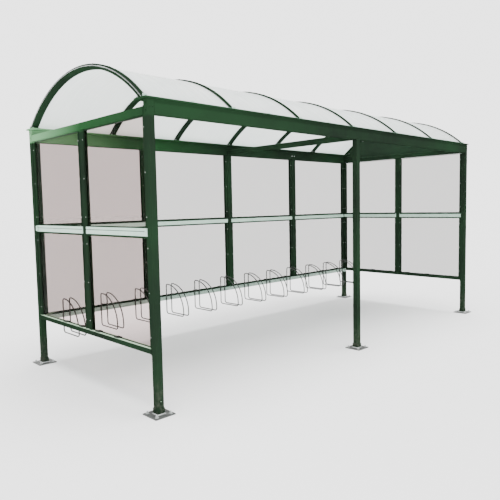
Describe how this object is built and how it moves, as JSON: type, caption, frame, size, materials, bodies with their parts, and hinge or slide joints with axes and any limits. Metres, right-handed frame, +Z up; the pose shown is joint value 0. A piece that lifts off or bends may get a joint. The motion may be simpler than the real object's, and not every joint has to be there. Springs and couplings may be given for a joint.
{
  "type": "bike shelter",
  "caption": "Open-fronted bike shelter with a barrel roof on arches, glazed back and ends, square posts on bolted base plates, and a rack of wheel hoops.",
  "frame": {"origin": "on the ground at the centre of the shelter's plan", "axes": "+X along the shelter to the right seen from the open front, +Y from the open front to the glazed back, +Z up"},
  "size_m": [5.09, 2.118, 2.631],
  "materials": {
    "green_frame": "satin powder coat, moss green",
    "galvanised": "hot-dip galvanised",
    "pale_rail": "pale anodised",
    "clear_glass": "clear toughened",
    "roof_sheet": "translucent polycarbonate"
  },
  "bodies": {
    "root": {"post_front_left": "green_frame", "post_front_middle": "green_frame", "post_front_right": "green_frame", "post_back_left": "green_frame", "post_back_right": "green_frame", "eaves_beam_front": "green_frame", "eaves_beam_back": "green_frame", "tie_beam_left": "green_frame", "tie_beam_middle": "green_frame", "tie_beam_right": "green_frame", "arch_1": "green_frame", "arch_2": "green_frame", "arch_3": "green_frame", "arch_4": "green_frame", "arch_5": "green_frame", "arch_6": "green_frame", "arch_7": "green_frame", "roof_cover_strips": "green_frame", "gable_panel_right": "green_frame", "upright_back_1": "green_frame", "upright_back_2": "green_frame", "upright_back_3": "green_frame", "mullion_left": "green_frame", "mullion_right": "green_frame", "bottom_rail_back": "green_frame", "bottom_rail_left": "green_frame", "bottom_rail_right": "green_frame", "base_plates": "galvanised", "rack_bar": "galvanised", "wheel_hoops_left": "galvanised", "wheel_hoops_right": "galvanised", "middle_rail_back": "pale_rail", "middle_rail_left": "pale_rail", "middle_rail_right": "pale_rail", "glass_back_lower": "clear_glass", "glass_back_upper": "clear_glass", "glass_left": "clear_glass", "glass_right": "clear_glass", "roof_sheet_1": "roof_sheet", "roof_sheet_2": "roof_sheet", "roof_sheet_3": "roof_sheet", "roof_sheet_4": "roof_sheet", "roof_sheet_5": "roof_sheet", "roof_sheet_6": "roof_sheet"}
  },
  "joints": []
}
